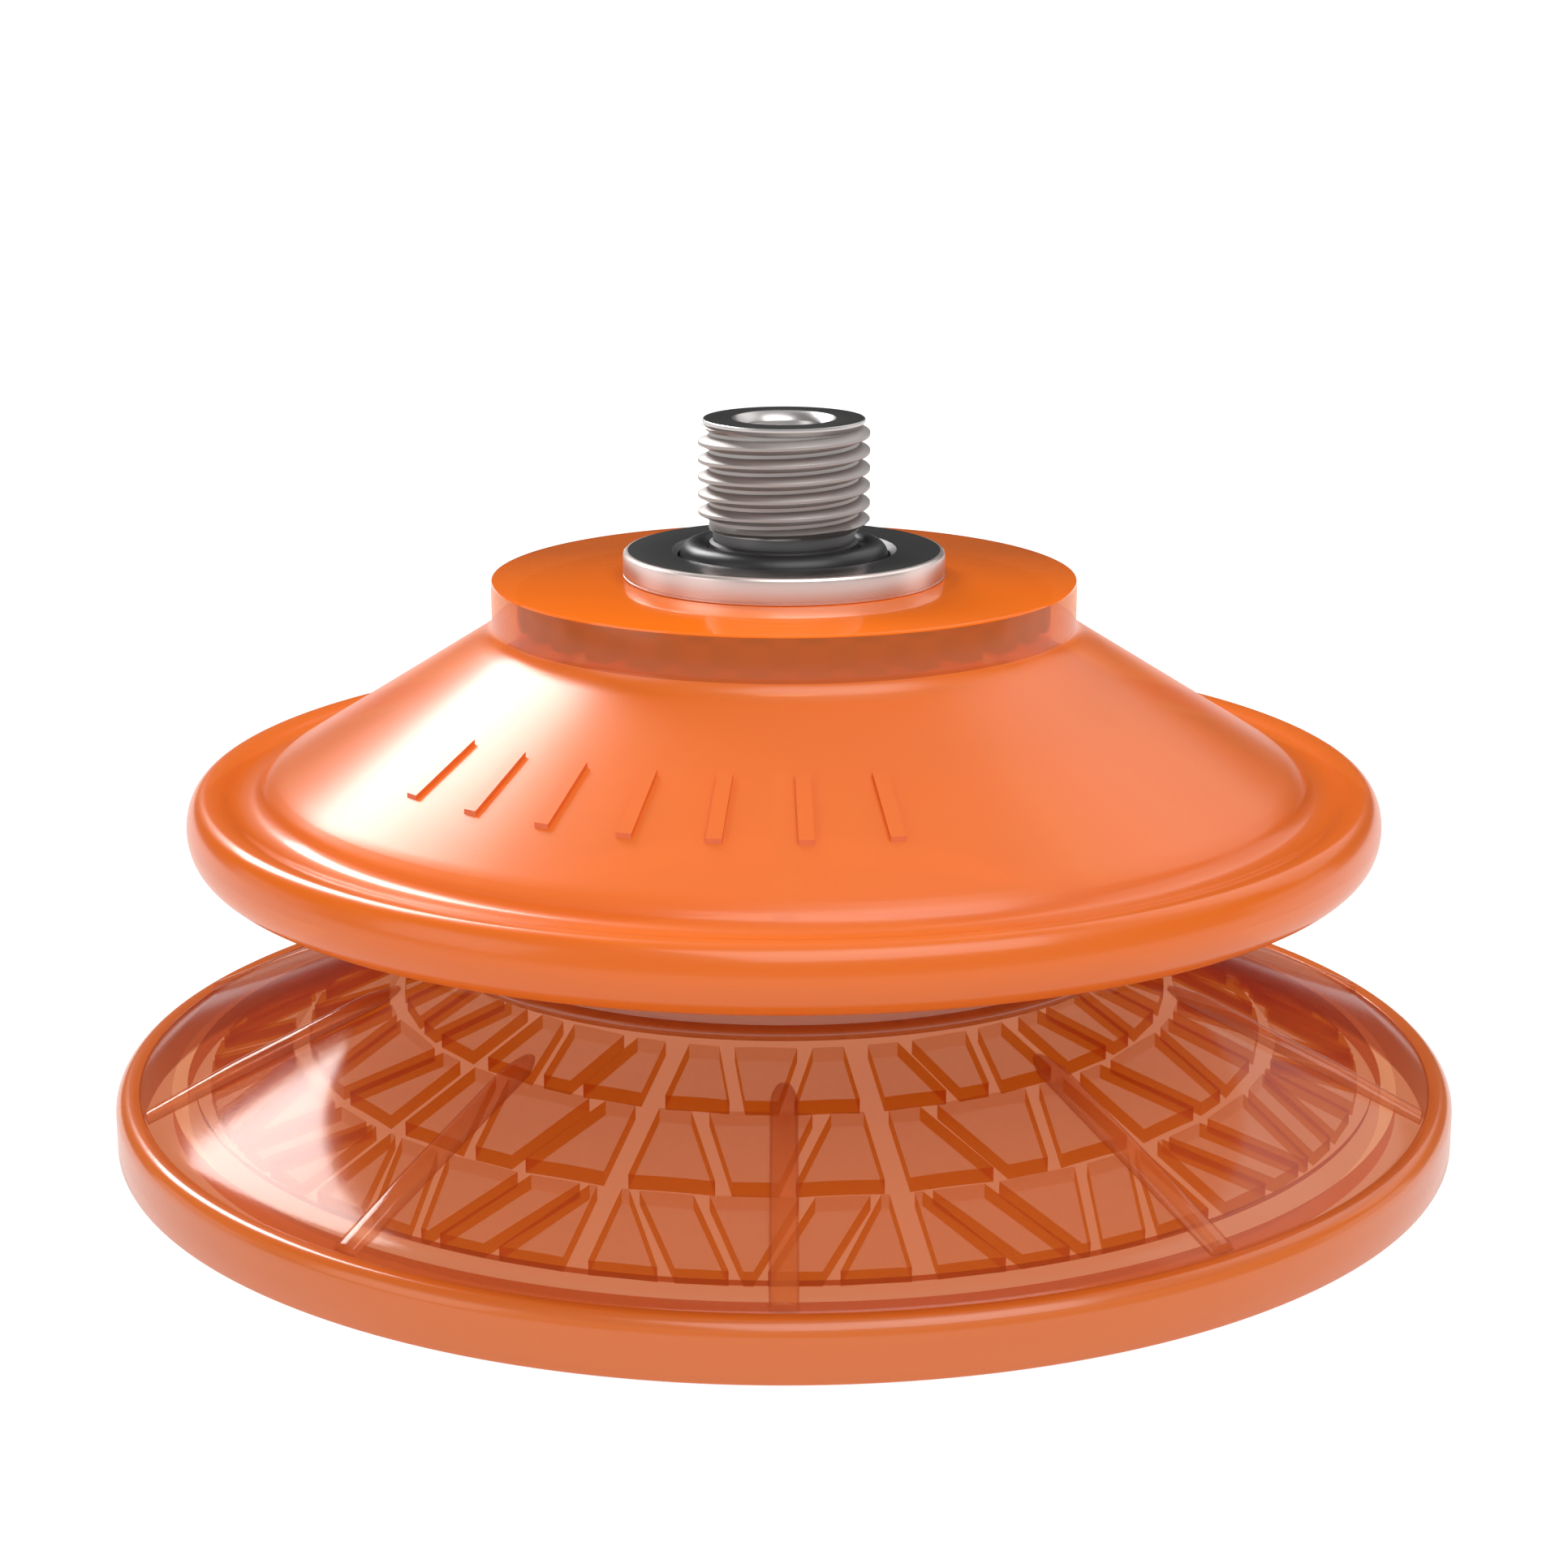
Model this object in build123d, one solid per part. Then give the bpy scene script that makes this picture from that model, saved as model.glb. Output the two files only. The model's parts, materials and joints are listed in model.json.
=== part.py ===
from build123d import *
import math
import os

# Bellows vacuum cup with a threaded stud. Millimetres, +Z up, origin at the
# centre of the circle that the lip stands on.

# sizes of the cup
lip_radius = 52.5          # outer radius of the sealing lip
lip_slope = 0.4186         # fall of the lip's upper face per mm of radius
lip_edge_r = 50.8          # where the lip's upper face meets the rim bead
lip_edge_z = 4.33
lip_wall = 1.4             # lip thickness above the tread layer, measured down Z
tread_skin = 0.4           # backing layer that carries the tread blocks
tread_depth = 0.95         # how far the tread blocks stand out of the backing
tread_sectors = 12
tread_turn = -3.0          # turn of the tread pattern against the ribs
channel_width = 1.8        # straight radial channels between sectors

cone_slope = 0.627         # fall of the upper wall per mm of radius
cone_z0, cone_r0 = 40.64, 20.21
cone_wall = 2.71           # upper wall thickness, measured down Z
plate_radius = 22.5
plate_top = 43.1
plate_foot = 39.2
pocket_radius = 20.6
pocket_top = 42.0

bead_r, bead_z = 44.57, 25.07   # middle of the fold bead
bead_a, bead_b = 1.56, 2.46     # its half width and half height

rib_count = 10
rib_width = 2.0
rib_height = 1.25

# sizes of the fitting
thread_radius = 6.5785     # G 1/4 outside diameter 13.157
thread_root = 5.7225       # G 1/4 minor diameter 11.445
thread_pitch = 1.337
thread_low, thread_high = 46.95, 54.9
stud_top = 55.25
stud_top_radius = 6.23
bore_radius = 3.3
bore_mouth = 3.98
flange_radius = 12.375
flange_low, flange_high = 43.1, 45.15
recess_floor = 43.6
recess_radius = 8.2
recess_mouth = 8.65
barrel_radius = 7.0
barrel_low = 35.0
ring_section = 2.25        # O-ring cord
ring_middle = 6.875        # radius of the cord's middle
insert_radius = 20.5
insert_low = 39.6
insert_teeth = 30
nut_flats = 22.0
nut_low = 36.2


def out_z(r):
    return cone_z0 - cone_slope * (r - cone_r0)


def in_z(r):
    return out_z(r) - cone_wall


def lip_z(r):
    return lip_edge_z + lip_slope * (lip_edge_r - r)


def under_z(r):
    return lip_z(r) - lip_wall


def turned(edges):
    face = make_face(edges)
    return revolve(face, axis=Axis.Z, revolution_arc=360)


def poly(points):
    return Polyline(*[(r, 0, z) for r, z in points], close=True)


def spun(points):
    return turned(poly(points).edges())


def path(points):
    return Polyline(*[(r, 0, z) for r, z in points]).edges()


def smooth(points):
    return Spline(*[(r, 0, z) for r, z in points]).edges()


parts = {}

# threaded stud: one turned piece with barrel, flange, neck and thread
outline = [
    (bore_radius, barrel_low),
    (barrel_radius - 0.4, barrel_low),
    (barrel_radius, barrel_low + 0.4),
    (barrel_radius, flange_low),
    (flange_radius, flange_low),
    (flange_radius, flange_high - 0.35),
    (flange_radius - 0.35, flange_high),
    (recess_mouth, flange_high),
    (recess_radius, flange_high - 0.45),
    (recess_radius, recess_floor),
    (thread_root, recess_floor),
    (thread_root, thread_low),
]
land = 0.22
depth = thread_radius - thread_root
rise = (thread_pitch - 2 * land) / 2
z = thread_low
while z + 2 * rise + land <= thread_high + 1e-6:
    outline += [
        (thread_radius, z + rise),
        (thread_radius, z + rise + land),
        (thread_root, z + 2 * rise + land),
    ]
    z += thread_pitch
    if z + 2 * rise + land <= thread_high + 1e-6:
        outline.append((thread_root, z))
outline += [
    (thread_root, stud_top - 0.75),
    (stud_top_radius - 0.02, stud_top - 0.28),
    (stud_top_radius - 0.3, stud_top),
    (bore_mouth, stud_top),
    (bore_radius, stud_top - 0.68),
]
parts["threaded_stud"] = spun(outline)

# O-ring lying in the flange recess
cord = Plane.XZ * Pos(ring_middle, recess_floor + ring_section / 2) * Circle(ring_section / 2)
parts["stud_o_ring"] = revolve(cord, axis=Axis.Z, revolution_arc=360)

# stiff support disc inside the hub, with a castellated edge
disc = spun([
    (barrel_radius, insert_low), (insert_radius, insert_low),
    (insert_radius, pocket_top), (barrel_radius, pocket_top),
])
slots = []
for k in range(insert_teeth):
    slots.append(
        Rot(0, 0, 360 / insert_teeth * (k + 0.5))
        * Pos(insert_radius, 0, (insert_low + pocket_top) / 2)
        * Box(4.4, 2.1, pocket_top - insert_low + 1)
    )
parts["hub_insert"] = disc - slots

# thin hexagon nut that clamps the hub from inside
nut = Pos(0, 0, nut_low) * extrude(
    RegularPolygon(nut_flats / 2, 6, major_radius=False), insert_low - nut_low
)
nut = nut - Pos(0, 0, nut_low - 1) * Cylinder(
    barrel_radius, insert_low - nut_low + 2, align=(Align.CENTER, Align.CENTER, Align.MIN)
)
parts["clamp_nut"] = nut

# hub plate: flat round top of the cup
parts["hub_plate"] = spun([
    (barrel_radius, plate_top), (plate_radius, plate_top), (plate_radius, plate_foot),
    (pocket_radius, in_z(pocket_radius)), (pocket_radius, pocket_top),
    (barrel_radius, pocket_top),
])

# upper bellows wall with seven plain raised bars on its front
wall_end_r, wall_end_in = 39.9, 38.7
wall = spun([
    (plate_radius, plate_foot), (wall_end_r, out_z(wall_end_r)),
    (wall_end_in, in_z(wall_end_in)), (pocket_radius, in_z(pocket_radius)),
])
lean = math.degrees(math.atan(cone_slope))
for k in range(7):
    turn = -49 + 10.3 * k
    bar = Box(5.4, 1.1, 1.0)
    bar = Pos(32.4, 0, out_z(32.4)) * Rot(0, lean, 0) * bar
    wall = wall + Rot(0, 0, turn - 90) * bar
parts["upper_wall"] = wall

# stiffening ring and ten radial ribs inside the upper wall
ribs = spun([
    (23.6, in_z(23.6)), (26.2, in_z(26.2)), (26.2, in_z(26.2) - 0.8),
    (23.6, in_z(23.6) - 0.8),
])
layer = spun([
    (25.0, in_z(25.0)), (37.4, in_z(37.4)), (37.4, in_z(37.4) - 1.1), (25.0, in_z(25.0) - 1.1),
])
blade = layer & (Pos(31.5, 0, 32) * Box(14.0, 1.6, 30))
for k in range(rib_count):
    ribs = ribs + Rot(0, 0, 36 * k - 90) * blade
parts["wall_rib_ring"] = ribs

# fold ring: groove, rounded outer bead and the turn of the bellows
lower_z = lambda r: 22.7 + 0.248 * (r - 43.0)
lower_wall_t = 2.25
bead = [
    (bead_r + bead_a * math.cos(math.radians(a)), bead_z + bead_b * math.sin(math.radians(a)))
    for a in (110, 90, 60, 30, 0, -30, -60, -90)
]
top = [(wall_end_r, out_z(wall_end_r)), (40.6, 27.55), (41.5, 27.08), (42.4, 27.02), (43.2, 27.22)]
fold = smooth(top + bead) + path([bead[-1], (43.0, 22.7), (40.0, lower_z(40.0))])
inner_low = (39.5, lower_z(39.5) + lower_wall_t)
fold += path([
    (40.0, lower_z(40.0)), inner_low, (40.5, lower_z(40.5) + lower_wall_t),
    (40.9, 24.75), (40.6, 25.15), (wall_end_in, in_z(wall_end_in)),
    (wall_end_r, out_z(wall_end_r)),
])
parts["fold_ring"] = turned(fold)

# lower bellows wall
low_out = smooth([(31.0, lower_z(31.0)), (29.6, 19.55), (28.7, 19.3), (28.3, 19.0)])
low_in = smooth([(25.8, 19.0), (26.1, 20.0), (26.9, 20.8), (28.4, lower_z(28.4) + lower_wall_t)])
parts["lower_wall"] = turned(
    path([inner_low, (40.0, lower_z(40.0)), (31.0, lower_z(31.0))])
    + low_out + path([(28.3, 19.0), (25.8, 19.0)]) + low_in
    + path([(28.4, lower_z(28.4) + lower_wall_t), inner_low])
)

# waist ring and the soft neck under it
parts["waist_ring"] = spun([(25.7, 18.1), (28.2, 18.1), (28.3, 19.0), (25.8, 19.0)])
parts["neck_ring"] = turned(
    path([(28.6, 15.2), (24.8, 15.2), (25.3, 16.4), (25.7, 18.1), (28.2, 18.1), (28.2, 16.2)])
    + smooth([(28.2, 16.2), (28.7, 15.95), (28.8, 15.7), (28.6, 15.2)])
)

# conical sealing lip
inner_r = 24.4
lip = path([(inner_r + 0.4, 15.2), (28.6, 15.2)])
lip += smooth([(28.6, 15.2), (29.1, 14.35), (30.2, 13.25), (32.0, lip_z(32.0))])
lip += path([
    (32.0, lip_z(32.0)), (lip_edge_r, lip_z(lip_edge_r)), (50.6, under_z(50.6)),
    (inner_r, under_z(inner_r)), (inner_r + 0.4, 15.2),
])
parts["lip_cone"] = turned(lip)

# rim bead, the edge that seals on the load
rim = smooth([(lip_edge_r, lip_edge_z), (51.6, 4.32), (52.25, 3.85), (lip_radius, 3.2)])
rim += path([
    (lip_radius, 3.2), (lip_radius, 0.3), (52.2, 0.0), (51.2, 0.0),
    (50.6, 0.7), (50.6, under_z(50.6)), (lip_edge_r, lip_edge_z),
])
parts["rim_bead"] = turned(rim)

# low ridge around the tread
parts["seal_ridge"] = spun([
    (47.0, under_z(47.0)), (48.2, under_z(48.2)), (48.2, 2.45), (47.0, 2.75),
])

# ten ribs on top of the lip
side = make_face(Polyline(
    (32.1, 0, lip_z(32.1)), (50.5, 0, lip_z(50.5)), (50.5, 0, lip_z(50.5) + 0.55),
    (48.6, 0, lip_z(48.6) + rib_height), (35.0, 0, lip_z(35.0) + rib_height), close=True,
).edges())
rib = extrude(side, rib_width / 2, dir=(0, 1, 0), both=True)
for k in range(rib_count):
    parts[f"lip_rib_{k + 1:02d}"] = Rot(0, 0, 36 * k - 90) * rib

# tread: sectors of blocks under the lip, each on its own backing
half = math.pi / tread_sectors
rings = [
    (24.9, 30.0, [(-1, -0.6, -1, -0.33), (-0.4, 0.4, -0.17, 0.17), (0.6, 1, 0.33, 1)]),
    (31.2, 37.5, [(-1, -0.68, -1, -0.31), (-0.5, 0.5, -0.18, 0.18), (0.68, 1, 0.31, 1)]),
    (38.8, 45.2, [
        (-1, -0.94, -1, -0.56), (-0.86, -0.45, -0.45, -0.12), (-0.33, 0.33, -0.03, 0.03),
        (0.45, 0.86, 0.12, 0.45), (0.94, 1, 0.56, 1),
    ]),
]


def across(r, share):
    reach = math.sqrt(r * r - (channel_width / 2) ** 2)
    edge = math.atan2(channel_width / 2, reach)
    turn = share * (half - edge)
    return (r * math.cos(turn), r * math.sin(turn))


def corner(r, share):
    return across(r, share)


columns = []
for low, high, blocks in rings:
    for a, b, c, d in blocks:
        ring_points = [corner(low, a), corner(low, b), corner(high, d), corner(high, c)]
        columns.append(extrude(make_face(Polyline(*ring_points, close=True).edges()), 30))

layer = spun([
    (24.6, under_z(24.6) - tread_skin + 0.01), (46.4, under_z(46.4) - tread_skin + 0.01),
    (46.4, under_z(46.4) - tread_skin - tread_depth),
    (24.6, under_z(24.6) - tread_skin - tread_depth),
])
skin = revolve(
    make_face(poly([
        (24.6, under_z(24.6)), (46.4, under_z(46.4)),
        (46.4, under_z(46.4) - tread_skin), (24.6, under_z(24.6) - tread_skin),
    ]).edges()),
    axis=Axis.Z, revolution_arc=360 / tread_sectors,
)
skin = Rot(0, 0, -180 / tread_sectors) * skin
probe = skin.center()
if abs(math.degrees(math.atan2(probe.Y, probe.X))) > 1:
    skin = Rot(0, 0, 360 / tread_sectors) * skin
sector = skin
for column in columns:
    sector = sector + (layer & column)
for k in range(tread_sectors):
    parts[f"tread_sector_{k + 1:02d}"] = (
        Rot(0, 0, 360 / tread_sectors * k - 90 + tread_turn) * sector
    )

os.makedirs("parts", exist_ok=True)
for name, shape in parts.items():
    export_step(shape, f"parts/{name}.step")
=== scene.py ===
import json
import math

import bmesh
import bpy
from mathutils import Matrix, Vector

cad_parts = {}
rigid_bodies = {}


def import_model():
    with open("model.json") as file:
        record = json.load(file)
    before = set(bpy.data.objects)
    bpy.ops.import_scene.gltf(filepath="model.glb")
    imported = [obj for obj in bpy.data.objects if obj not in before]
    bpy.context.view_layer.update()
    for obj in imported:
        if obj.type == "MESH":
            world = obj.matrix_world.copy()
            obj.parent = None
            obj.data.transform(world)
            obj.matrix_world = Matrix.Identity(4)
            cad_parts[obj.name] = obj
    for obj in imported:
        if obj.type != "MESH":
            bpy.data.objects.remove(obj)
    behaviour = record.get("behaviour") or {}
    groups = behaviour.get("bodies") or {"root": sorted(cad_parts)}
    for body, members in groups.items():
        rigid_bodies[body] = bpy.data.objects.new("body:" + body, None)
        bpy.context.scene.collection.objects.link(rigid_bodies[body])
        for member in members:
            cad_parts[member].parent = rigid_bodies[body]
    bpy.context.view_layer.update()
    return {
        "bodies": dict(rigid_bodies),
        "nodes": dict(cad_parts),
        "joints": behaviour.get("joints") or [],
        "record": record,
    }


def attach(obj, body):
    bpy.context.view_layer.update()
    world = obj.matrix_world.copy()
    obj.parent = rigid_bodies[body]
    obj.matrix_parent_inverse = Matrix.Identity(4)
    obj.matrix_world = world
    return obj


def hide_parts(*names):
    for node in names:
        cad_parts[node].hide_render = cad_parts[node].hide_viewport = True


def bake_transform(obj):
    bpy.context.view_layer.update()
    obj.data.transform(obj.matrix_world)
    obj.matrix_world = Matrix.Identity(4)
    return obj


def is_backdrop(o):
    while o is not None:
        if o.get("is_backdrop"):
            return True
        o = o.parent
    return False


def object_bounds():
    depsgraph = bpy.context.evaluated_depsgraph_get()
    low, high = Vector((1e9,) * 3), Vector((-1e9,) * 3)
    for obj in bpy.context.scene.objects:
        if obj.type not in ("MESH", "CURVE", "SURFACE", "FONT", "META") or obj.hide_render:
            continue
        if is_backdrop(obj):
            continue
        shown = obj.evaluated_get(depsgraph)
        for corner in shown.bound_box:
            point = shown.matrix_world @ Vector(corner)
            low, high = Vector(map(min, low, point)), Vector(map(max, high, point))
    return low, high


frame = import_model()
MM = 0.001
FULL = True
SEG = 240 if FULL else 144


# ---------------------------------------------------------------- dimensions
def out_z(r):
    return 40.64 - 0.627 * (r - 20.21)


def in_z(r):
    return out_z(r) - 2.71


def lip_z(r):
    return 4.33 + 0.4186 * (50.8 - r)


def under_z(r):
    return lip_z(r) - 1.4


def low_z(r):
    return 22.7 + 0.248 * (r - 43.0)


# ---------------------------------------------------------------- materials
def new_material(name):
    m = bpy.data.materials.new(name)
    m.use_nodes = True
    nt = m.node_tree
    nt.nodes.clear()
    out = nt.nodes.new("ShaderNodeOutputMaterial")
    p = nt.nodes.new("ShaderNodeBsdfPrincipled")
    return m, nt, out, p


def fine_bump(nt, p, scale, strength, distance=0.0001):
    co = nt.nodes.new("ShaderNodeTexCoord")
    n = nt.nodes.new("ShaderNodeTexNoise")
    n.inputs["Scale"].default_value = scale
    n.inputs["Detail"].default_value = 3.0
    nt.links.new(co.outputs["Object"], n.inputs["Vector"])
    b = nt.nodes.new("ShaderNodeBump")
    b.inputs["Strength"].default_value = strength
    b.inputs["Distance"].default_value = distance
    nt.links.new(n.outputs["Fac"], b.inputs["Height"])
    nt.links.new(b.outputs["Normal"], p.inputs["Normal"])
    return n


def elastomer(name, colour, tint, opacity, rough=0.22, coat=0.35, sss=0.0, bump=0.06):
    """Glossy orange rubber: a coated base over a tinted see-through layer."""
    m, nt, out, p = new_material(name)
    p.inputs["Base Color"].default_value = (*colour, 1)
    p.inputs["Roughness"].default_value = rough
    p.inputs["IOR"].default_value = 1.5
    p.inputs["Coat Weight"].default_value = coat
    p.inputs["Coat Roughness"].default_value = 0.12
    if sss:
        p.inputs["Subsurface Weight"].default_value = sss
        p.inputs["Subsurface Radius"].default_value = (1.0, 0.35, 0.12)
        p.inputs["Subsurface Scale"].default_value = 0.002
    fine_bump(nt, p, 2600.0, bump)
    if opacity >= 1:
        nt.links.new(p.outputs[0], out.inputs[0])
        return m
    t = nt.nodes.new("ShaderNodeBsdfTransparent")
    t.inputs["Color"].default_value = (*tint, 1)
    mix = nt.nodes.new("ShaderNodeMixShader")
    mix.inputs[0].default_value = opacity
    nt.links.new(t.outputs[0], mix.inputs[1])
    nt.links.new(p.outputs[0], mix.inputs[2])
    nt.links.new(mix.outputs[0], out.inputs[0])
    return m


def metal(name, colour, rough, ring=0.0):
    m, nt, out, p = new_material(name)
    p.inputs["Base Color"].default_value = (*colour, 1)
    p.inputs["Metallic"].default_value = 1.0
    p.inputs["Roughness"].default_value = rough
    n = fine_bump(nt, p, 900.0, 0.05)
    nt.links.new(p.outputs[0], out.inputs[0])
    return m


TOP = elastomer("cup_top_rubber", (0.93, 0.205, 0.022), (1.0, 0.55, 0.28), 0.70, rough=0.32, coat=0.52)
TOP.node_tree.nodes["Principled BSDF"].inputs["Coat Roughness"].default_value = 0.23
PLATE = elastomer("cup_plate_rubber", (0.98, 0.175, 0.001), (1.0, 0.55, 0.3), 0.95, rough=0.2, coat=0.7, bump=0.0)
PLATE.node_tree.nodes["Principled BSDF"].inputs["Coat Roughness"].default_value = 0.02
PLATE.node_tree.nodes["Principled BSDF"].inputs["Specular IOR Level"].default_value = 0.2
LIP = elastomer("cup_lip_rubber", (0.52, 0.13, 0.035), (0.80, 0.49, 0.35), 0.27, rough=0.16, coat=1.0)
UNDER = elastomer("cup_under_rubber", (0.6, 0.2, 0.07), (0.81, 0.485, 0.35), 0.14, rough=0.3, coat=0.0)
RIB = elastomer("cup_rib_rubber", (0.72, 0.2, 0.055), (0.98, 0.84, 0.72), 0.34, rough=0.16, coat=1.0)
RIM = elastomer("cup_rim_rubber", (0.68, 0.145, 0.018), (1.0, 0.6, 0.35), 0.78, rough=0.26, coat=0.5)
BEAD = elastomer("cup_bead_rubber", (0.84, 0.165, 0.008), (1.0, 0.55, 0.28), 0.78, rough=0.3, coat=0.4)
WALL = elastomer("cup_edge_rubber", (0.80, 0.18, 0.035), (1.0, 0.62, 0.36), 0.50, rough=0.2, coat=0.3)
NECK = elastomer("cup_neck_rubber", (0.5, 0.11, 0.014), (0.95, 0.5, 0.28), 0.75, rough=0.15, coat=1.0)
FLAT = elastomer("tread_face_rubber", (0.85, 0.52, 0.36), (1.0, 0.985, 0.97), 0.10, rough=0.45, coat=0.0)
DEEP = elastomer("tread_side_rubber", (0.82, 0.15, 0.001), (0.88, 0.49, 0.05), 0.32, rough=0.5, coat=0.0)
SOFT = elastomer("tread_back_rubber", (0.85, 0.3, 0.1), (0.97, 0.86, 0.72), 0.16, rough=0.5, coat=0.0)
MARK = elastomer("mark_rubber", (0.84, 0.15, 0.012), (1.0, 0.6, 0.35), 0.85, rough=0.2, coat=0.4)
STEEL = metal("turned_metal", (0.56, 0.535, 0.525), 0.3)
FLANGE = metal("flange_metal", (0.86, 0.74, 0.70), 0.33)
THREAD = metal("thread_metal", (0.43, 0.40, 0.385), 0.52)
FACE = metal("faced_metal", (0.5, 0.49, 0.485), 0.22)
EDGE = elastomer("cup_ridge_rubber", (0.9, 0.28, 0.08), (0.96, 0.68, 0.48), 0.14, rough=0.3, coat=0.0)
# painted shade: a near-black metal that stands in for the shadow and dark O-ring reflection in the flange recess
# and the undercut below the thread
PAINTED_SHADE = metal("painted_shade_metal", (0.16, 0.155, 0.155), 0.5)
INNER = elastomer("cup_inner_rib_rubber", (1.0, 0.5, 0.27), (1.0, 0.8, 0.6), 0.85, rough=0.4, coat=0.0)
CLEAR = elastomer("cup_seat_rubber", (0.8, 0.3, 0.1), (1.0, 0.85, 0.7), 0.1, rough=0.4, coat=0.0)

m, nt, out, p = new_material("black_rubber")
p.inputs["Base Color"].default_value = (0.014, 0.014, 0.016, 1)
p.inputs["Roughness"].default_value = 0.38
fine_bump(nt, p, 2200.0, 0.05)
nt.links.new(p.outputs[0], out.inputs[0])
BLACK = m
m, nt, out, p = new_material("insert_plastic")
p.inputs["Base Color"].default_value = (0.2, 0.07, 0.03, 1)
p.inputs["Roughness"].default_value = 0.5
fine_bump(nt, p, 1500.0, 0.05)
nt.links.new(p.outputs[0], out.inputs[0])
INSERT = m


# ---------------------------------------------------------------- mesh helpers
def make(name, verts, faces, mats, index=None, angle=32):
    me = bpy.data.meshes.new(name)
    me.from_pydata([tuple(c * MM for c in v) for v in verts], [], faces)
    for mt in mats:
        me.materials.append(mt)
    if index is not None:
        me.polygons.foreach_set("material_index", index)
    bm = bmesh.new()
    bm.from_mesh(me)
    bmesh.ops.remove_doubles(bm, verts=bm.verts, dist=2e-7)
    bmesh.ops.dissolve_degenerate(bm, edges=bm.edges, dist=1e-7)
    bmesh.ops.recalc_face_normals(bm, faces=bm.faces)
    bm.to_mesh(me)
    bm.free()
    me.polygons.foreach_set("use_smooth", [True] * len(me.polygons))
    me.set_sharp_from_angle(angle=math.radians(angle))
    me.update()
    o = bpy.data.objects.new(name, me)
    bpy.context.scene.collection.objects.link(o)
    return o


def lathe(name, loop, mats, tags=None, seg=None, angle=32):
    """A closed (r, z) loop turned about Z. tags gives a material number per edge of the loop."""
    n, k = seg or SEG, len(loop)
    verts, faces, index = [], [], []
    for i in range(n):
        a = 2 * math.pi * i / n
        c, s = math.cos(a), math.sin(a)
        verts += [(r * c, r * s, z) for r, z in loop]
    for i in range(n):
        j = (i + 1) % n
        for e in range(k):
            f = (e + 1) % k
            faces.append((i * k + e, i * k + f, j * k + f, j * k + e))
            index.append(tags[e] if tags else 0)
    return make(name, verts, faces, mats, index, angle)


def split(points, step):
    """Extra points along the straight runs."""
    done = []
    for (r0, z0), (r1, z1) in zip(points, points[1:]):
        n = max(1, math.ceil(math.hypot(r1 - r0, z1 - z0) / step))
        done += [(r0 + (r1 - r0) * t / n, z0 + (z1 - z0) * t / n) for t in range(n)]
    return done + [points[-1]]


def curve(points, n=6):
    """A smooth Catmull-Rom run through the points."""
    if len(points) < 3:
        return points
    done = []
    pts = [points[0]] + points + [points[-1]]
    for i in range(1, len(pts) - 2):
        p0, p1, p2, p3 = pts[i - 1:i + 3]
        for t in range(n):
            u = t / n
            done.append(tuple(
                0.5 * (2 * b + (c - a) * u + (2 * a - 5 * b + 4 * c - d) * u * u + (3 * b - a - 3 * c + d) * u ** 3)
                for a, b, c, d in zip(p0, p1, p2, p3)))
    return done + [points[-1]]


def patch(corners, top, bottom, nu=8, nv=5):
    """A block between two z functions over a four-cornered plan; corners run round the block."""
    a, b, c, d = corners
    verts, faces, index = [], [], []

    def at(u, v):
        return tuple(
            (1 - v) * ((1 - u) * a[i] + u * b[i]) + v * ((1 - u) * d[i] + u * c[i]) for i in (0, 1))

    for f in (top, bottom):
        for j in range(nv + 1):
            for i in range(nu + 1):
                x, y = at(i / nu, j / nv)
                verts.append((x, y, f(math.hypot(x, y))))
    half = (nu + 1) * (nv + 1)
    g = lambda i, j, k: k * half + j * (nu + 1) + i
    for j in range(nv):
        for i in range(nu):
            faces.append((g(i, j, 0), g(i + 1, j, 0), g(i + 1, j + 1, 0), g(i, j + 1, 0)))
            faces.append((g(i, j, 1), g(i, j + 1, 1), g(i + 1, j + 1, 1), g(i + 1, j, 1)))
            index += [0, 0]
    edge = [(i, 0) for i in range(nu + 1)] + [(nu, j) for j in range(1, nv + 1)]
    edge += [(i, nv) for i in range(nu - 1, -1, -1)] + [(0, j) for j in range(nv - 1, 0, -1)]
    for (i0, j0), (i1, j1) in zip(edge, edge[1:] + edge[:1]):
        faces.append((g(i0, j0, 0), g(i0, j0, 1), g(i1, j1, 1), g(i1, j1, 0)))
        index.append(2 if j0 == 0 and j1 == 0 else 1)
    return verts, faces, index


def join(groups):
    verts, faces, index = [], [], []
    for v, f, i in groups:
        n = len(verts)
        verts += v
        faces += [tuple(x + n for x in q) for q in f]
        index += i
    return verts, faces, index


def spun(verts, degrees):
    c, s = math.cos(math.radians(degrees)), math.sin(math.radians(degrees))
    return [(x * c - y * s, x * s + y * c, z) for x, y, z in verts]


# ---------------------------------------------------------------- cup, upper half
bead = lambda a: (44.57 + 1.56 * math.cos(math.radians(a)), 25.07 + 2.46 * math.sin(math.radians(a)))
outer = [(7.02, 43.1), (22.3, 43.1), (22.44, 43.05), (22.5, 42.92), (22.5, 40.0), (22.55, 39.62), (22.72, 39.28), (23.1, out_z(23.1))]
cone = split([(23.1, out_z(23.1)), (39.3, out_z(39.3))], 0.8)
groove = curve([(39.3, out_z(39.3)), (39.95, 28.12), (40.35, 27.65), (41.0, 27.22), (42.0, 27.05), (42.7, 27.12), (43.4, 27.4), (44.0, 27.52), bead(90)], 4)
round_up = [bead(a) for a in range(84, -1, -6)]
inner = [(41.0, 24.9), (40.75, 25.25), (40.2, 25.6), (38.7, in_z(38.7))]
inner = inner + split([(38.7, in_z(38.7)), (20.6, in_z(20.6))], 0.8)[1:] + [(20.6, 42.0), (7.02, 42.0)]
loop = outer + cone[1:-1] + groove + round_up + inner
tags = []
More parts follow.
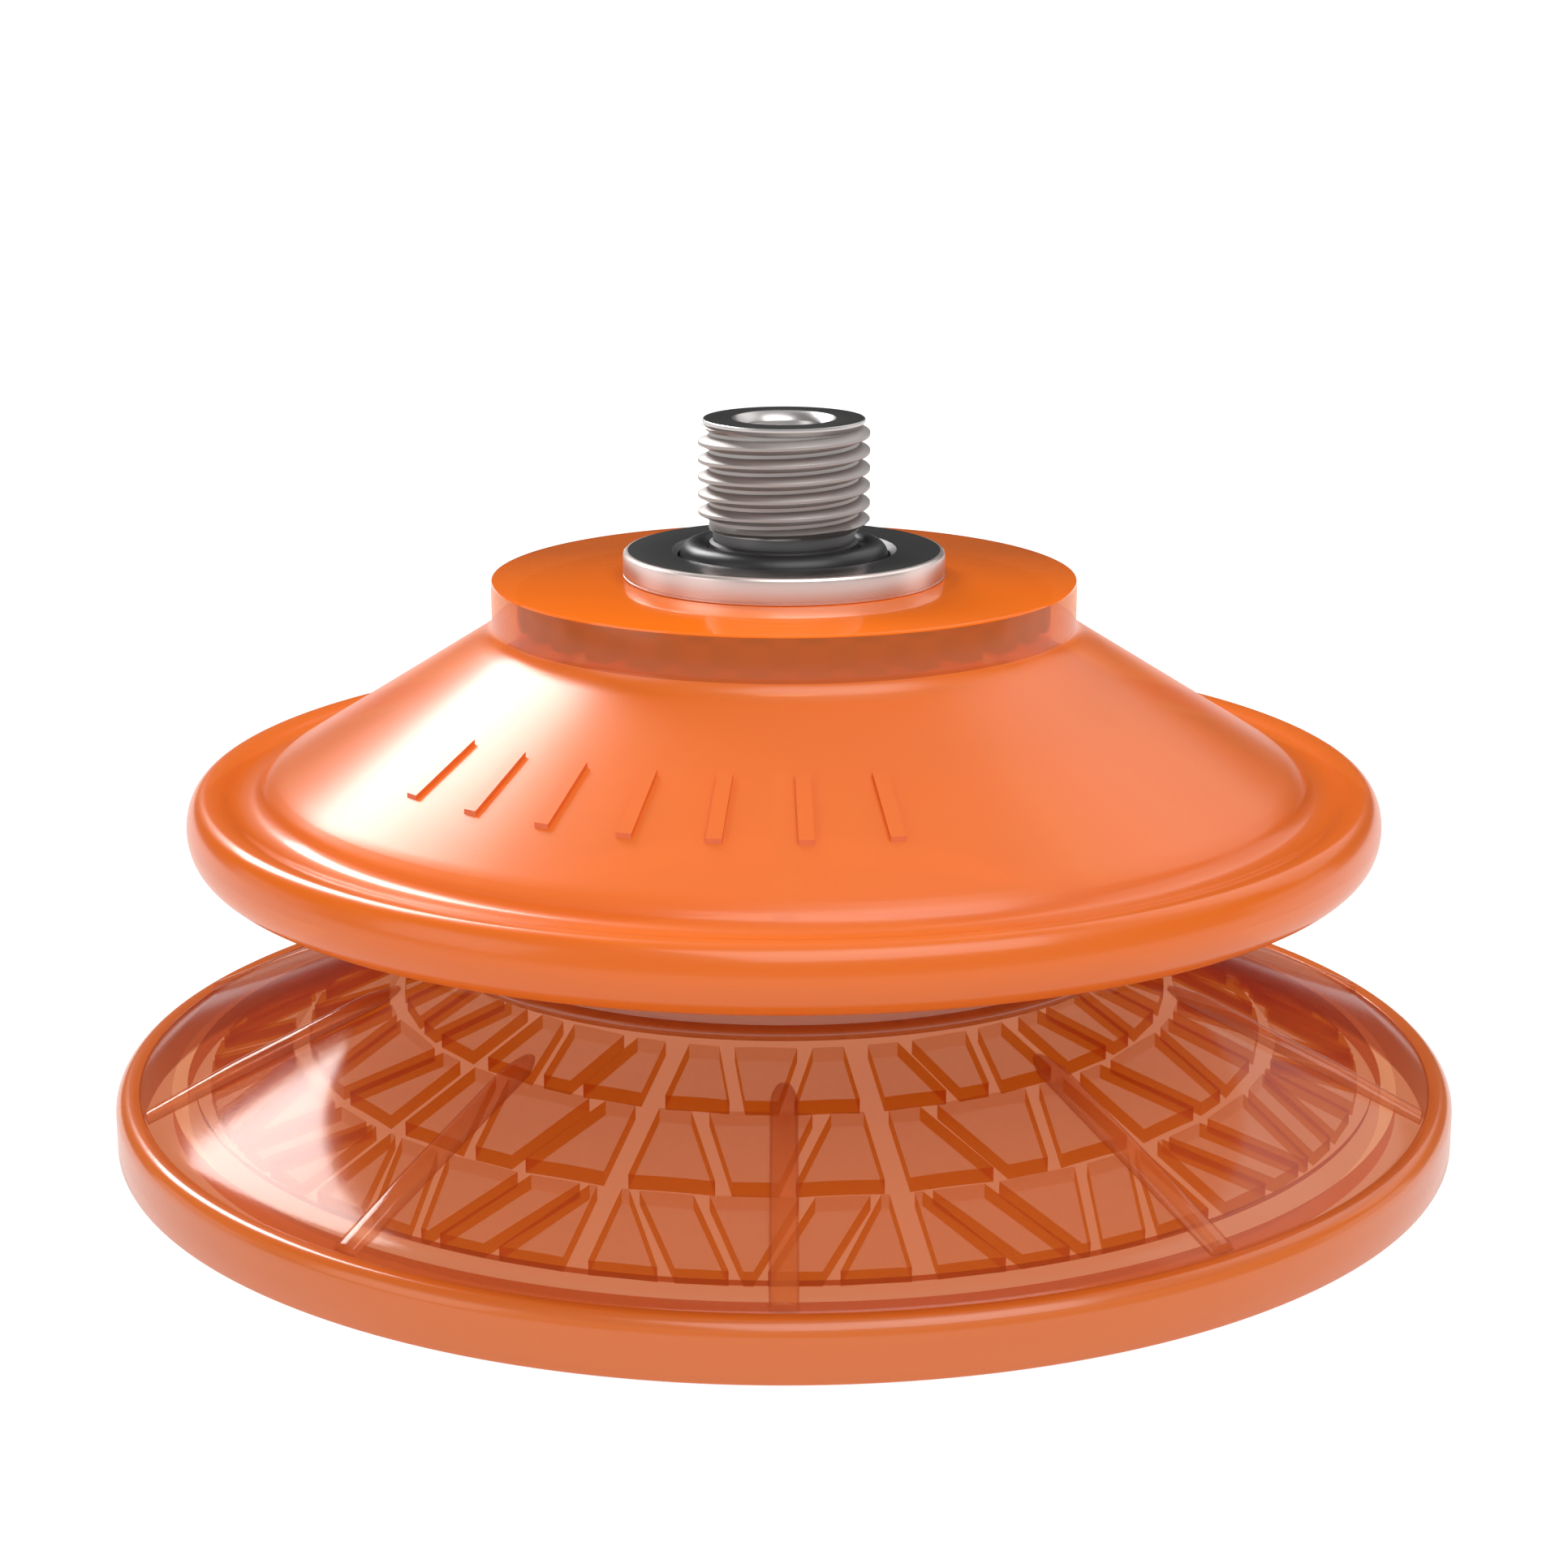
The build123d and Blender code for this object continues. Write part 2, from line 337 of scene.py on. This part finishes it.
for r, z in loop:
    if r < 22.45 and z > 42.95:
        tags.append(1)
    elif z > 39.9 and 22.4 < r < 22.6:
        tags.append(2)
    elif r >= 40.2:
        tags.append(3)
    elif r == 20.6 and z < 41.0:
        tags.append(4)
    else:
        tags.append(0)
cup_top = lathe("cup_top", loop, [TOP, PLATE, WALL, BEAD, CLEAR], tags)
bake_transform(cup_top)
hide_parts("hub_plate", "upper_wall")

# ten ribs and a stiffening ring inside the upper wall
groups = []
for k in range(10):
    a = [(25.0, -0.8), (37.4, -0.8), (37.4, 0.8), (25.0, 0.8)]
    v, f, i = patch(a, lambda r: in_z(r) + 0.03, lambda r: in_z(r) - 1.1 * min(1, (38.0 - r) / 2.0), 14, 2)
    groups.append((spun(v, 36 * k - 90), f, i))
v, f, i = join(groups)
wall_ribs = make("wall_ribs", v, f, [INNER, INNER, INNER], i)
ring = lathe("wall_ring", [(23.6, in_z(23.6) + 0.03), (26.2, in_z(26.2) + 0.03), (26.2, in_z(26.2) - 0.8), (23.6, in_z(23.6) - 0.8)], [TOP])
for o in (wall_ribs, ring):
    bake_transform(o)
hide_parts("wall_rib_ring")

# seven plain raised bars on the front of the upper wall
groups = []
for k in range(7):
    w = 0.55
    v, f, i = patch([(29.8, -w), (35.0, -w), (35.0, w), (29.8, w)], lambda r: out_z(r) + 0.38, lambda r: out_z(r) - 0.2, 6, 3)
    groups.append((spun(v, -49 + 10.3 * k - 90), f, i))
v, f, i = join(groups)
bars = make("raised_bars", v, f, [TOP, MARK, MARK], i)
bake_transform(bars)

# ---------------------------------------------------------------- cup, lower half
round_low = [bead(a) for a in range(0, -91, -6)]
low_out = split([(43.0, 22.7), (31.0, low_z(31.0))], 0.8)
low_in = split([(28.4, low_z(28.4) + 2.25), (40.3, low_z(40.3) + 2.25)], 0.8)
loop = round_low + low_out + [(30.2, 19.6), (29.4, 19.48), (28.8, 19.3), (28.45, 19.15), (28.3, 19.0), (25.8, 19.0), (26.0, 19.8), (26.5, 20.5), (27.3, 21.0)]
loop += low_in + [(40.8, 24.5), (41.0, 24.9)]
cup_low = lathe("cup_low", loop, [BEAD])
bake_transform(cup_low)
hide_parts("fold_ring", "lower_wall")

neck_a = lathe("neck_upper", [(28.3, 19.0), (28.22, 18.5), (28.2, 18.0), (28.2, 17.5), (28.2, 17.1), (25.5, 17.1), (25.58, 17.5), (25.68, 18.0), (25.75, 18.5), (25.8, 19.0)], [NECK])
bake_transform(neck_a)
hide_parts("waist_ring")
neck_b = lathe("neck_lower", [(28.2, 17.1), (28.2, 16.65), (28.22, 16.25), (28.5, 16.1), (28.75, 15.92), (28.85, 15.7), (28.75, 15.4), (28.6, 15.2), (24.8, 15.2), (25.05, 15.7), (25.3, 16.4), (25.5, 17.1)], [NECK], angle=50)
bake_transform(neck_b)
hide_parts("neck_ring")

# ---------------------------------------------------------------- lip and rim
skin = lambda r: under_z(r) - 0.4
root = curve([(28.6, 15.2), (28.85, 14.75), (29.3, 14.1), (30.2, 13.3), (31.2, 12.62), (32.2, lip_z(32.2))], 4)
face = split([(32.2, lip_z(32.2)), (50.45, lip_z(50.45))], 2.0)
lip_loop = root + face[1:] + [(50.62, 4.3)]
low_side = [(50.62, under_z(50.6)), (48.2, under_z(48.2)), (48.2, 2.45), (47.0, 2.75), (47.0, under_z(47.0)), (46.4, under_z(46.4)), (46.4, skin(46.4))]
low_side += split([(46.4, skin(46.4)), (24.5, skin(24.5))], 2.0)[1:] + [(24.45, 13.9), (24.8, 15.2)]
tags = [0] * len(lip_loop) + [1, 2, 2, 1] + [1] * (len(low_side) - 5) + [0]
lip = lathe("lip_cone", lip_loop + low_side, [LIP, UNDER, EDGE], tags)
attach(lip, "lip")
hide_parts("lip_cone", "seal_ridge")

rim_loop = [(50.6, 3.0), (50.6, 4.25), (50.72, 4.36)] + curve([(50.85, 4.38), (51.2, 4.42), (51.7, 4.36), (52.15, 4.02), (52.42, 3.55), (52.5, 3.1)], 4)
rim_loop += [(52.5, 1.7), (52.5, 0.32), (52.42, 0.12), (52.24, 0.0), (51.2, 0.0), (50.6, 0.7)]
rim = lathe("rim_bead", rim_loop, [RIM])
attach(rim, "lip")
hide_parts("rim_bead")

# ten ribs on top of the lip, rounded across, with a tapered inner tip
rib_v, rib_f = [], []
stations = [30.9, 31.2, 31.6, 32.2, 33.0] + [34.0 + 1.65 * t for t in range(11)]
across = 9
for r in stations:
    grow = min(1.0, (r - 30.7) / 2.6)
    w = 1.0 * math.sqrt(max(0.05, min(1, (r - 30.7) / 1.4)))
    h = 1.05 * grow ** 0.7 * (1 - 0.35 * max(0, (r - 44) / 6.6))
    base = (lip_z(r) if r >= 32.2 else 12.11 + (32.2 - r) * 0.62)
    row = []
    for t in range(across):
        a = math.pi * t / (across - 1)
        row.append((r, -w * math.cos(a), base - 0.12 + h * math.sin(a) ** 0.6))
    rib_v += row
    rib_v.append((r, 0.0, base - 0.25))
step = across + 1
for s in range(len(stations) - 1):
    for t in range(step):
        u = (t + 1) % step
        rib_f.append((s * step + t, s * step + u, (s + 1) * step + u, (s + 1) * step + t))
rib_f.append(tuple(range(step)))
last = (len(stations) - 1) * step
rib_f.append(tuple(last + t for t in range(step)))
for k in range(10):
    o = make(f"lip_rib_{k + 1:02d}", spun(rib_v, 36 * k - 90), rib_f, [RIB], None, 50)
    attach(o, "lip")
    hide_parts(f"lip_rib_{k + 1:02d}")

# tread blocks under the lip
RINGS = [
    (24.9, 30.0, [(-1, -0.6, -1, -0.33), (-0.4, 0.4, -0.17, 0.17), (0.6, 1, 0.33, 1)]),
    (31.2, 37.5, [(-1, -0.68, -1, -0.31), (-0.5, 0.5, -0.18, 0.18), (0.68, 1, 0.31, 1)]),
    (38.8, 45.2, [(-1, -0.94, -1, -0.56), (-0.86, -0.45, -0.45, -0.12), (-0.33, 0.33, -0.03, 0.03), (0.45, 0.86, 0.12, 0.45), (0.94, 1, 0.56, 1)]),
]


def corner(r, share):
    turn = share * (math.pi / 12 - math.asin(0.9 / r))
    return (r * math.cos(turn), r * math.sin(turn))


for k in range(12):
    groups = []
    for lo, hi, blocks in RINGS:
        for a, b, c, d in blocks:
            v, f, i = patch([corner(lo, a), corner(lo, b), corner(hi, d), corner(hi, c)],
                            lambda r: skin(r) - 0.02, lambda r: skin(r) - 1.1, 6, 6)
            groups.append((spun(v, 30 * k - 90 - 3.0), f, i))
    v, f, i = join(groups)
    o = make(f"tread_sector_{k + 1:02d}", v, f, [FLAT, DEEP, SOFT], i, 30)
    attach(o, "lip")
    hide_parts(f"tread_sector_{k + 1:02d}")

# ---------------------------------------------------------------- fitting
root_r, crest_r, pitch = 5.7225, 6.5785, 1.337
body = [(3.3, 35.0), (6.6, 35.0), (7.0, 35.4), (7.0, 43.1), (12.3, 43.1), (12.375, 43.18), (12.375, 43.3), (12.3, 43.34), (12.3, 43.4), (12.375, 43.44),
        (12.375, 44.75), (12.33, 44.95), (12.2, 45.09), (12.0, 45.15), (8.65, 45.15), (8.2, 44.72), (8.2, 43.6), (5.72, 43.6), (5.72, 45.75), (5.45, 45.9), (5.45, 46.9),
        (5.4, 47.0), (5.5, 54.3), (5.72, 54.5), (6.21, 54.97), (6.23, 55.05), (6.2, 55.2), (6.13, 55.25), (4.0, 55.25), (3.93, 55.22), (3.34, 54.6), (3.3, 54.5)]
# tag 2 puts the painted-shade metal on the flange recess under the O-ring and on the undercut below the thread
tags = [1 if 3 <= i <= 12 else (2 if i in (14, 15, 16, 18, 19) else 0) for i in range(len(body))]
tags[13] = tags[body.index((6.13, 55.25))] = 3
stud = lathe("threaded_stud", body, [STEEL, FLANGE, PAINTED_SHADE, FACE], tags, angle=28)
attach(stud, "hub")
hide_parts("threaded_stud")

n = 120 if FULL else 72
shape = [(0.0, 0.0), (0.1, 0.02), (0.37, 0.93), (0.42, 1.0), (0.58, 1.0), (0.63, 0.93), (0.9, 0.02)]
z_low, z_high = 46.75, 54.98
turns = math.ceil((z_high - z_low) / pitch) + 1
rows = [(t + ph, h) for t in range(-1, turns) for ph, h in shape]
rows.append((turns, 0.0))
verts, faces = [], []
for i in range(n + 1):
    a = 2 * math.pi * i / n
    c, s = math.cos(a), math.sin(a)
    for t, h in rows:
        z = z_low + (t + i / n) * pitch
        fade = max(0.0, min(1.0, (z - z_low - 0.15) / 0.5)) * max(0.0, min(1.0, (z_high - z - 0.02) / 0.45))
        r = root_r + (crest_r - root_r) * h * fade
        z = max(z_low, min(z_high, z))
        if z > z_high - 0.5:
            r = max(r, root_r) if r > 6.2 else max(r, root_r)
        verts.append((r * c, r * s, z))
k = len(rows)
for i in range(n):
    for e in range(k - 1):
        faces.append((i * k + e, (i + 1) * k + e, (i + 1) * k + e + 1, i * k + e + 1))
base = len(verts)
for i in range(n + 1):
    a = 2 * math.pi * i / n
    c, s = math.cos(a), math.sin(a)
    verts += [(5.4 * c, 5.4 * s, z_low), (5.4 * c, 5.4 * s, z_high)]
for i in range(n):
    b0, b1 = base + 2 * i, base + 2 * i + 2
    faces.append((b0, b0 + 1, b1 + 1, b1))
    faces.append((i * k, b0, b1, (i + 1) * k))
    faces.append((i * k + k - 1, (i + 1) * k + k - 1, b1 + 1, b0 + 1))
thread = make("stud_thread", verts, faces, [THREAD], None, 35)
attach(thread, "hub")

cord = [(6.875 + 1.125 * math.cos(2 * math.pi * t / 24), 44.725 + 1.125 * math.sin(2 * math.pi * t / 24)) for t in range(24)]
o_ring = lathe("stud_o_ring", cord, [BLACK], angle=60)
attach(o_ring, "hub")
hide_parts("stud_o_ring")

for name, mat, slot in (("hub_insert", INSERT, "insert_plastic"), ("clamp_nut", STEEL, "nut_metal")):
    o = frame["nodes"][name] if isinstance(frame, dict) and "nodes" in frame else bpy.data.objects[name]
    o.data.materials.clear()
    o.data.materials.append(mat)

# ---------------------------------------------------------------- studio
scene = bpy.context.scene
me = bpy.data.meshes.new("floor")
me.from_pydata([(-30, -30, -0.0002), (30, -30, -0.0002), (30, 30, -0.0002), (-30, 30, -0.0002)], [], [(0, 1, 2, 3)])
floor = bpy.data.objects.new("floor", me)
scene.collection.objects.link(floor)
m, nt, out, p = new_material("floor_pale")
p.inputs["Base Color"].default_value = (0.15, 0.15, 0.15, 1)
p.inputs["Roughness"].default_value = 0.9
p.inputs["Emission Color"].default_value = (1, 1, 1, 1)
p.inputs["Emission Strength"].default_value = 1.0
nt.links.new(p.outputs[0], out.inputs[0])
me.materials.append(m)
floor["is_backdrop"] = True


def panel(name, direction, distance, width, height, radiance, colour=(1, 1, 1)):
    d = Vector(direction).normalized()
    light = bpy.data.lights.new(name, "AREA")
    light.shape = "RECTANGLE"
    light.size, light.size_y = width, height
    light.energy = radiance * math.pi * width * height
    light.color = colour
    o = bpy.data.objects.new(name, light)
    o.location = Vector((0, 0, 0.03)) + d * distance
    o.rotation_euler = (-d).to_track_quat("-Z", "Y").to_euler()
    scene.collection.objects.link(o)
    return o


panel("key_back_left", (-0.463, 0.637, 0.616), 0.7, 0.26, 0.34, 14.0)
panel("front", (0.25, -0.55, 0.95), 1.4, 1.3, 1.0, 3.3)
panel("left_fill", (-1.0, -0.5, 0.45), 1.3, 0.7, 0.7, 1.4)
panel("top_right", (0.35, 0.3, 1.0), 1.0, 1.6, 1.2, 0.45)
panel("right_haze", (0.55, 0.55, 0.6), 1.0, 0.8, 0.7, 0.9)
panel("low_left", (-1.0, 0.3, 0.12), 1.2, 0.6, 0.3, 0.8)
panel("low_right", (1.0, 0.3, 0.12), 1.2, 0.6, 0.3, 0.8)

# the room: pale in front of the object, dark behind it
world = bpy.data.worlds.new("studio")
scene.world = world
world.use_nodes = True
nt = world.node_tree
bg = nt.nodes.get("Background") or nt.nodes.new("ShaderNodeBackground")
bg.inputs["Color"].default_value = (1.0, 1.0, 1.0, 1)
co = nt.nodes.new("ShaderNodeTexCoord")
xyz = nt.nodes.new("ShaderNodeSeparateXYZ")
ramp = nt.nodes.new("ShaderNodeMapRange")
ramp.interpolation_type = "SMOOTHSTEP"
ramp.inputs["From Min"].default_value = -0.7
ramp.inputs["From Max"].default_value = 0.45
ramp.inputs["To Min"].default_value = 0.42
ramp.inputs["To Max"].default_value = 0.04
nt.links.new(co.outputs["Generated"], xyz.inputs[0])
nt.links.new(xyz.outputs["Y"], ramp.inputs["Value"])
nt.links.new(ramp.outputs[0], bg.inputs["Strength"])

scene.view_settings.view_transform = "Standard"
scene.view_settings.look = "None"

cam = bpy.data.cameras.new("camera")
cam.sensor_width = 36.0
cam.lens = 18.0 / math.tan(math.radians(27.703) / 2)
cam.clip_start, cam.clip_end = 0.01, 100.0
camera = bpy.data.objects.new("camera", cam)
camera.location = (0.0, -0.240885, 0.089722)
camera.rotation_euler = (math.radians(75.2812), 0, 0)
scene.collection.objects.link(camera)
scene.camera = camera

lo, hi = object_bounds()
